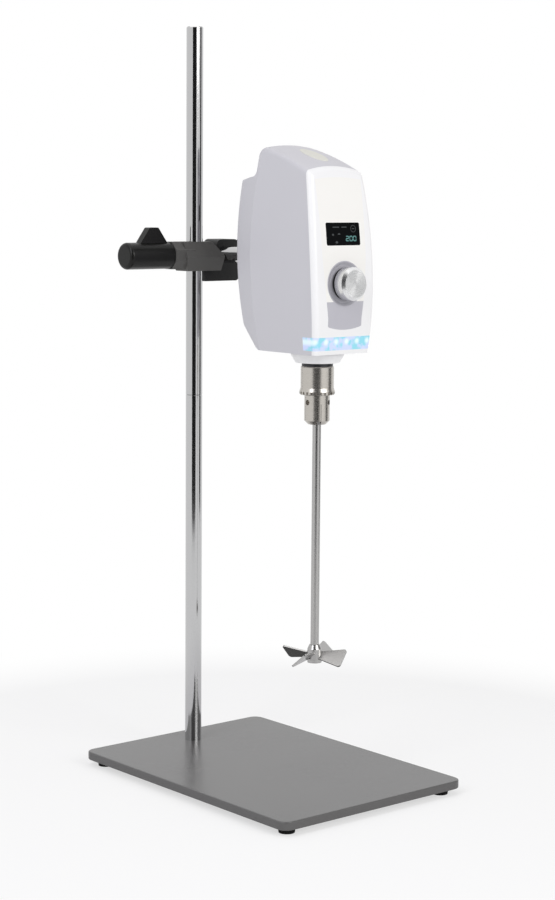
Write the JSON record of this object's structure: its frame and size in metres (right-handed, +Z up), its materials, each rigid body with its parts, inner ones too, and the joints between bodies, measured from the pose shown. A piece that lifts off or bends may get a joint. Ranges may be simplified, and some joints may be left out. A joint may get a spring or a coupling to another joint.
{
  "type": "overhead stirrer",
  "caption": "Overhead stirrer: a motor head with display and knob hangs from a cross clamp on a plate stand and turns a propeller shaft in a chuck.",
  "frame": {"origin": "middle of the base plate's footprint, on the bench surface under the feet", "axes": "+Z up along the stand rod, the control panel faces -Y, +X to the right seen from the front"},
  "size_m": [0.216, 0.3, 0.706],
  "materials": {
    "base_paint": "satin",
    "rubber_feet": "matt",
    "bright_rod": "polished",
    "clamp_paint": "satin",
    "holder_paint": "satin",
    "grip_plastic": "moulded",
    "shell_plastic": "fine satin",
    "bezel_plastic": "gloss",
    "panel_film": "satin film",
    "trim_film": "satin film",
    "display_glass": "gloss",
    "light_plastic": "translucent",
    "steel": "machined",
    "dark_steel": "blackened",
    "chuck_steel": "polished",
    "turned_aluminium": "spun",
    "sheet_aluminium": "mill",
    "brass_pad": "machined",
    "circuit_board": "satin"
  },
  "bodies": {
    "stand": {"base_plate": "base_paint", "feet": "rubber_feet", "foot_screws": "steel"},
    "upright": {"lower_rod": "bright_rod", "upper_rod": "bright_rod", "rod_bolt": "steel"},
    "clamp": {"boss_head": "clamp_paint", "rod_holder": "holder_paint", "boss_screws": "dark_steel"},
    "stand_pad": {"stand_clamp_pad": "brass_pad"},
    "stand_handle": {"stand_clamp_screw": "steel", "stand_clamp_handle": "grip_plastic"},
    "support_pad": {"support_clamp_pad": "brass_pad"},
    "support_handle": {"support_clamp_screw": "steel", "support_clamp_handle": "grip_plastic"},
    "support_bar": {"support_rod": "bright_rod"},
    "head": {"front_bezel": "bezel_plastic", "main_shell": "shell_plastic", "rear_cover": "shell_plastic", "cover_screws": "steel", "control_panel": "panel_film", "lower_trim": "trim_film", "display_window": "display_glass", "display_module": "circuit_board", "light_bar": "light_plastic", "led_board": "circuit_board", "chassis": "sheet_aluminium", "control_board": "circuit_board", "drive_board": "circuit_board", "motor_stator": "dark_steel", "motor_cap": "sheet_aluminium", "motor_screws": "steel", "lower_bearing": "steel", "upper_bearing": "steel", "spindle_collar": "bezel_plastic", "rod_socket": "sheet_aluminium", "socket_screw": "dark_steel", "power_jack": "grip_plastic", "switch_housing": "grip_plastic", "encoder_body": "dark_steel"},
    "spindle": {"motor_rotor": "steel", "spindle_shaft": "steel", "chuck_body": "chuck_steel", "chuck_ring": "dark_steel"},
    "sleeve": {"chuck_sleeve": "chuck_steel"},
    "jaw_1": {"chuck_jaw_1": "steel"},
    "jaw_2": {"chuck_jaw_2": "steel"},
    "jaw_3": {"chuck_jaw_3": "steel"},
    "impeller": {"stirring_shaft": "steel", "propeller": "steel", "propeller_screw": "dark_steel"},
    "encoder": {"encoder_shaft": "steel"},
    "knob": {"control_knob": "turned_aluminium", "knob_skirt": "grip_plastic"},
    "rocker": {"switch_rocker": "grip_plastic"}
  },
  "joints": [
    {"name": "upright_swivel", "type": "hinge", "parent": "stand", "child": "upright", "pos_m": [0, 0.1176, 0], "axis": [0, 0, 1], "continuous": true},
    {"name": "clamp_height", "type": "slide", "parent": "upright", "child": "clamp", "axis": [0, 0, 1], "range_m": [-0.09, 0.19]},
    {"name": "rod_reach", "type": "slide", "parent": "clamp", "child": "support_bar", "axis": [0, 1, 0], "range_m": [-0.008, 0.038]},
    {"name": "head_roll", "type": "hinge", "parent": "support_bar", "child": "head", "pos_m": [0.034, 0.06, 0.4905], "axis": [0, 1, 0], "range_deg": [-90, 90]},
    {"name": "stand_pad_slide", "type": "slide", "parent": "clamp", "child": "stand_pad", "axis": [-1, 0, 0], "range_m": [0, 0.0025]},
    {"name": "stand_handle_turn", "type": "hinge", "parent": "stand_pad", "child": "stand_handle", "pos_m": [0, 0.1176, 0.4905], "axis": [-1, 0, 0], "range_deg": [0, 722]},
    {"name": "support_pad_slide", "type": "slide", "parent": "clamp", "child": "support_pad", "axis": [1, 0, 0], "range_m": [0, 0.0025]},
    {"name": "support_handle_turn", "type": "hinge", "parent": "support_pad", "child": "support_handle", "pos_m": [0, 0.1245, 0.4905], "axis": [1, 0, 0], "range_deg": [0, 722]},
    {"name": "spindle_turn", "type": "hinge", "parent": "head", "child": "spindle", "pos_m": [0.034, -0.0244, 0.4], "axis": [0, 0, 1], "continuous": true},
    {"name": "sleeve_turn", "type": "hinge", "parent": "spindle", "child": "sleeve", "pos_m": [0.034, -0.0244, 0.38], "axis": [0, 0, 1], "range_deg": [0, 720]},
    {"name": "jaw_1_slide", "type": "slide", "parent": "spindle", "child": "jaw_1", "axis": [1, 0, 0], "range_m": [0, 0.0025]},
    {"name": "jaw_2_slide", "type": "slide", "parent": "spindle", "child": "jaw_2", "axis": [-0.5, 0.866, 0], "range_m": [0, 0.0025]},
    {"name": "jaw_3_slide", "type": "slide", "parent": "spindle", "child": "jaw_3", "axis": [-0.5, -0.866, 0], "range_m": [0, 0.0025]},
    {"name": "shaft_draw", "type": "slide", "parent": "spindle", "child": "impeller", "axis": [0, 0, -1], "range_m": [0, 0.03]},
    {"name": "knob_push", "type": "slide", "parent": "head", "child": "encoder", "axis": [0, 0.9992, -0.0396], "range_m": [0, 0.0005], "stiffness_N_per_m": 2500},
    {"name": "knob_turn", "type": "hinge", "parent": "encoder", "child": "knob", "pos_m": [0.034, -0.06946, 0.46932], "axis": [0, -0.9992, 0.0396], "continuous": true},
    {"name": "switch_rock", "type": "hinge", "parent": "head", "child": "rocker", "pos_m": [0.034, 0.058, 0.53], "axis": [1, 0, 0], "range_deg": [-10, 0]}
  ],
  "couplings": [
    {"joint": "stand_handle_turn", "follows": "stand_pad_slide", "rad_per_m": 5026.5},
    {"joint": "support_handle_turn", "follows": "support_pad_slide", "rad_per_m": 5026.5},
    {"joint": "jaw_1_slide", "follows": "sleeve_turn", "m_per_rad": 0.00019894},
    {"joint": "jaw_2_slide", "follows": "sleeve_turn", "m_per_rad": 0.00019894},
    {"joint": "jaw_3_slide", "follows": "sleeve_turn", "m_per_rad": 0.00019894}
  ]
}
